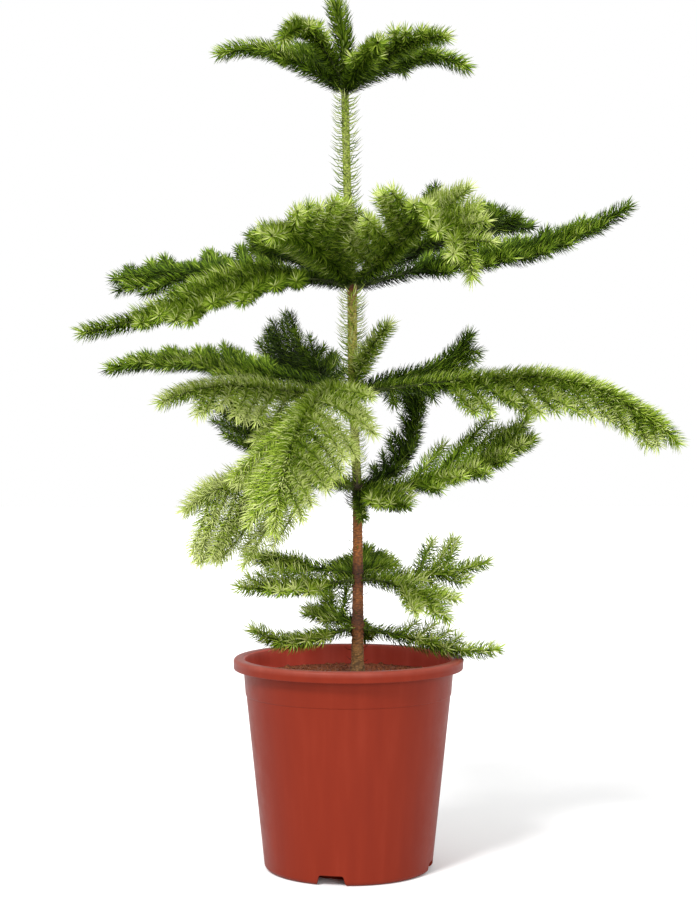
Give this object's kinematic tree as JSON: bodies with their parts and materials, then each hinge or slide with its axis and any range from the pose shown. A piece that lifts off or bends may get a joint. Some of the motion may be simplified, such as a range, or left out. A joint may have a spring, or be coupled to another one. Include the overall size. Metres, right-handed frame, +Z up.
{
  "type": "potted norfolk island pine",
  "caption": "Young Norfolk Island pine with tiers of needled boughs on one upright trunk, growing in a terracotta-coloured plastic nursery pot",
  "frame": {"origin": "centre of the pot's flat underside, on the pot's axis", "axes": "+Z is up the pot's axis and the trunk; +Y points away from the side that the picture shows, and +X to that side's right"},
  "size_m": [0.4632, 0.3748, 0.716],
  "materials": {
    "pot_plastic": "satin",
    "soil": "matte",
    "bark": "matte",
    "twig_bark": "matte",
    "needles": "matte"
  },
  "bodies": {
    "root": {"pot": "pot_plastic", "soil": "soil", "tier_1_left_back_spray": "needles", "tier_1_left_spray": "needles", "tier_1_right_back_spray": "needles", "tier_1_right_spray": "needles", "tier_2_back_spray": "needles", "tier_2_left_back_spray": "needles", "tier_2_left_front_spray": "needles", "tier_2_right_front_spray": "needles", "tier_2_right_spray": "needles", "tier_3_front_spray": "needles", "tier_3_left_back_limb": "twig_bark", "tier_3_left_back_spray": "needles", "tier_3_left_front_limb": "twig_bark", "tier_3_left_front_spray": "needles", "tier_3_right_back_limb": "twig_bark", "tier_3_right_back_spray": "needles", "tier_3_right_front_spray": "needles", "tier_3_right_limb": "twig_bark", "tier_3_right_spray": "needles", "tier_4_back_limb": "twig_bark", "tier_4_back_spray": "needles", "tier_4_front_limb": "twig_bark", "tier_4_front_spray": "needles", "tier_4_left_front_limb": "twig_bark", "tier_4_left_front_spray": "needles", "tier_4_left_limb": "twig_bark", "tier_4_left_spray": "needles", "tier_4_right_back_limb": "twig_bark", "tier_4_right_back_spray": "needles", "tier_4_right_front_spray": "needles", "tier_4_right_limb": "twig_bark", "tier_4_right_spray": "needles", "tier_5_back_limb": "twig_bark", "tier_5_back_spray": "needles", "tier_5_left_back_limb": "twig_bark", "tier_5_left_back_spray": "needles", "tier_5_left_front_limb": "twig_bark", "tier_5_left_front_spray": "needles", "tier_5_left_limb": "twig_bark", "tier_5_left_spray": "needles", "tier_5_right_back_limb": "twig_bark", "tier_5_right_back_spray": "needles", "tier_5_right_front_limb": "twig_bark", "tier_5_right_front_spray": "needles", "tier_5_right_limb": "twig_bark", "tier_5_right_spray": "needles", "tier_6_front_spray": "needles", "tier_6_left_back_spray": "needles", "tier_6_left_front_spray": "needles", "tier_6_left_spray": "needles", "tier_6_right_back_spray": "needles", "tier_6_right_front_spray": "needles", "tier_6_right_spray": "needles", "trunk": "bark"}
  },
  "joints": []
}
